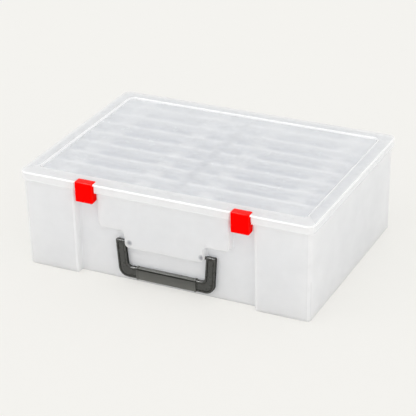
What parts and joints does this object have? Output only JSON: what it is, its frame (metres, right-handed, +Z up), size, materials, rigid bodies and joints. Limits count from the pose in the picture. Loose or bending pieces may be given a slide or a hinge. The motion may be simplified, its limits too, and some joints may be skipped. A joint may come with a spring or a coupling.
{
  "type": "carrying case with inner cases",
  "caption": "Translucent hinged carrying case with snap latches and a swing handle on its front, filled with clear flat inner cases standing on edge in two columns.",
  "frame": {"origin": "centre of the underside of the body", "axes": "+X to the right along the width, +Y from the front with the handle to the back with the hinges, +Z up"},
  "size_m": [0.381, 0.2834, 0.1266],
  "materials": {
    "frosted_body": "frosted translucent polypropylene",
    "frosted_lid": "clear polypropylene, lightly frosted",
    "case_tray_clear": "clear polypropylene",
    "case_cover_clear": "clear polypropylene",
    "latch_red": "satin moulded plastic",
    "handle_grey": "satin moulded plastic, dark grey",
    "grip_grey": "satin moulded plastic, dark grey",
    "pin_steel": "drawn wire"
  },
  "bodies": {
    "root": {"body": "frosted_body", "hinge_pin_left": "pin_steel", "hinge_pin_right": "pin_steel", "case_tray_01": "case_tray_clear", "case_tray_02": "case_tray_clear", "case_tray_03": "case_tray_clear", "case_tray_04": "case_tray_clear", "case_tray_05": "case_tray_clear", "case_tray_06": "case_tray_clear", "case_tray_07": "case_tray_clear", "case_tray_08": "case_tray_clear", "case_tray_09": "case_tray_clear", "case_tray_10": "case_tray_clear", "case_tray_11": "case_tray_clear", "case_tray_12": "case_tray_clear", "case_tray_13": "case_tray_clear", "case_tray_14": "case_tray_clear", "case_tray_15": "case_tray_clear", "case_tray_16": "case_tray_clear", "case_cover_01": "case_cover_clear", "case_cover_02": "case_cover_clear", "case_cover_03": "case_cover_clear", "case_cover_04": "case_cover_clear", "case_cover_05": "case_cover_clear", "case_cover_06": "case_cover_clear", "case_cover_07": "case_cover_clear", "case_cover_08": "case_cover_clear", "case_cover_09": "case_cover_clear", "case_cover_10": "case_cover_clear", "case_cover_11": "case_cover_clear", "case_cover_12": "case_cover_clear", "case_cover_13": "case_cover_clear", "case_cover_14": "case_cover_clear", "case_cover_15": "case_cover_clear", "case_cover_16": "case_cover_clear"},
    "lid": {"lid": "frosted_lid"},
    "latch_left": {"latch_left": "latch_red", "latch_pin_left": "pin_steel"},
    "latch_right": {"latch_right": "latch_red", "latch_pin_right": "pin_steel"},
    "handle": {"handle_bail": "handle_grey", "handle_grip": "grip_grey"}
  },
  "joints": [
    {"name": "lid_hinge", "type": "hinge", "parent": "root", "child": "lid", "pos_m": [0, 0.1415, 0.1152], "axis": [-1, 0, 0], "range_deg": [0, 110]},
    {"name": "latch_left_pivot", "type": "hinge", "parent": "root", "child": "latch_left", "pos_m": [-0.1013, -0.1328, 0.1093], "axis": [1, 0, 0], "range_deg": [0, 90]},
    {"name": "latch_right_pivot", "type": "hinge", "parent": "root", "child": "latch_right", "pos_m": [0.1013, -0.1328, 0.1093], "axis": [1, 0, 0], "range_deg": [0, 90]},
    {"name": "handle_swing", "type": "hinge", "parent": "root", "child": "handle", "pos_m": [0, -0.1271, 0.0538], "axis": [-1, 0, 0], "range_deg": [0, 140]}
  ]
}
